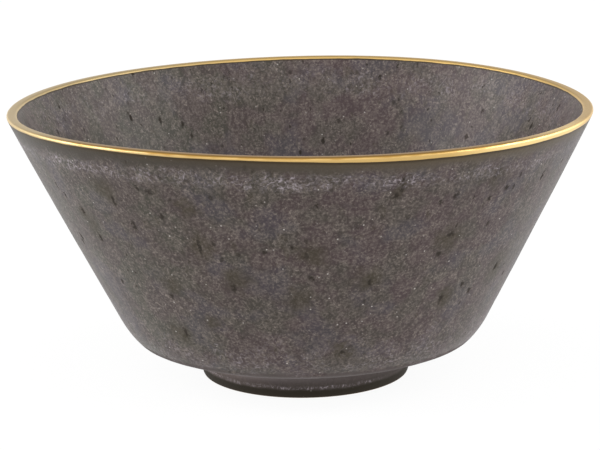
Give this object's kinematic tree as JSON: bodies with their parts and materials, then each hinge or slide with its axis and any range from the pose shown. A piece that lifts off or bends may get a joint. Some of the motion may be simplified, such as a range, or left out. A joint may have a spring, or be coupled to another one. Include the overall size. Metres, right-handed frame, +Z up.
{
  "type": "bowl",
  "caption": "Glazed stoneware bowl with straight flared walls, a low foot ring and a gilt lip, for food or display.",
  "frame": {"origin": "on the table, under the middle of the rim", "axes": "+Z up along the bowl's axis; -Y faces the camera of the picture and +X is to its right"},
  "size_m": [0.16, 0.16, 0.0769],
  "materials": {
    "speckled_glaze": "satin mauve-brown glaze mottled with grey-green, pale crystals and dark pits",
    "gold_lustre": "thin fired gold on the lip, bright, with soft brushed edges"
  },
  "bodies": {
    "root": {"bowl": "speckled_glaze"}
  },
  "joints": []
}
